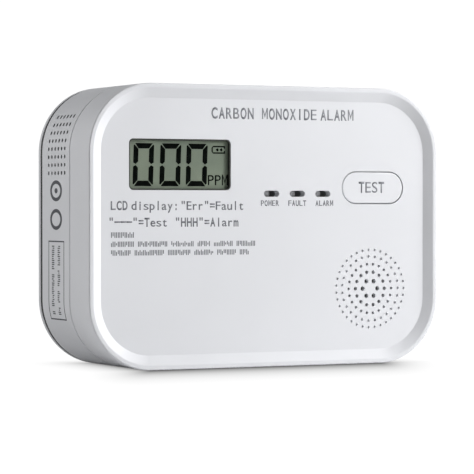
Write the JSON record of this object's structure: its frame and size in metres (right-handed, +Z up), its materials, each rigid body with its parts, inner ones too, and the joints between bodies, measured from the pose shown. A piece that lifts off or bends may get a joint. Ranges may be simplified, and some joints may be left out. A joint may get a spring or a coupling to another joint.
{
  "type": "carbon monoxide detector",
  "caption": "Battery carbon monoxide alarm: white rounded case with a dished face, digital display, test button, indicator slots, horn grille, side vents and a wall plate.",
  "frame": {"origin": "centre of the case's footprint on the surface it stands on, under its long bottom edge", "axes": "+Z up, +X to the right as seen by someone facing the display, the dished face looks along -Y and the wall plate is at +Y"},
  "size_m": [0.12, 0.0396, 0.086],
  "materials": {
    "case": "white ABS, satin moulded texture",
    "button": "white ABS, smooth satin",
    "black_plastic": "black moulded plastic",
    "holder": "dark smoke-grey moulded plastic",
    "lens": "clear acrylic window",
    "lcd": "grey-green liquid-crystal glass",
    "reflector": "satin reflector sheet",
    "rubber": "conductive elastomer",
    "board": "green solder-masked glass-epoxy board",
    "epoxy": "water-clear epoxy",
    "brass": "thin brass disc",
    "ceramic": "fired ceramic",
    "steel": "zinc-plated steel",
    "sensor": "drawn stainless can",
    "chip": "black epoxy moulding",
    "capacitor": "sleeved aluminium can",
    "cell": "printed cell sleeve, no lettering",
    "foam": "closed-cell foam pad",
    "red_wire": "red insulation",
    "black_wire": "black insulation"
  },
  "bodies": {
    "case": {"front_cover": "case", "rear_housing": "case", "switch_body": "black_plastic", "lcd_lens": "lens", "lcd_holder": "holder", "lcd_glass": "lcd", "lcd_reflector": "reflector", "zebra_strip_upper": "rubber", "zebra_strip_lower": "rubber", "led_shroud": "black_plastic", "led_power": "epoxy", "led_fault": "epoxy", "led_alarm": "epoxy", "horn_body": "black_plastic", "horn_cap": "black_plastic", "piezo_disc": "brass", "piezo_ceramic": "ceramic", "gas_sensor": "sensor", "gas_sensor_cap": "black_plastic", "main_board": "board", "controller_chip": "chip", "capacitor": "capacitor", "boost_coil": "chip", "board_screw_1": "steel", "case_screw_1": "steel", "board_screw_2": "steel", "case_screw_2": "steel", "board_screw_3": "steel", "case_screw_3": "steel", "board_screw_4": "steel", "case_screw_4": "steel", "battery_1": "cell", "battery_2": "cell", "positive_contact": "steel", "negative_contact": "steel", "bridge_contact": "steel", "spring_lower": "steel", "spring_upper": "steel", "battery_wire_red": "red_wire", "battery_wire_black": "black_wire", "horn_wire_red": "red_wire", "horn_wire_black": "black_wire"},
    "wall_plate": {"mounting_plate": "case"},
    "door": {"battery_door": "case", "battery_pad": "foam"},
    "button": {"test_button": "button"},
    "plunger": {"switch_plunger": "black_plastic"}
  },
  "joints": [
    {"name": "button_press", "type": "slide", "parent": "case", "child": "button", "axis": [0, 1, 0], "range_m": [0, 0.0008], "stiffness_N_per_m": 400},
    {"name": "plunger_press", "type": "slide", "parent": "case", "child": "plunger", "axis": [0, 1, 0], "range_m": [0, 0.00052]},
    {"name": "door_hinge", "type": "hinge", "parent": "case", "child": "door", "pos_m": [0, 0.0154, 0.0082], "axis": [-1, 0, 0], "range_deg": [0, 90]},
    {"name": "wall_plate_lift", "type": "slide", "parent": "case", "child": "wall_plate", "axis": [0, 1, 0], "range_m": [0, 0.03]}
  ],
  "couplings": [
    {"joint": "plunger_press", "follows": "button_press", "ratio": 0.65}
  ]
}
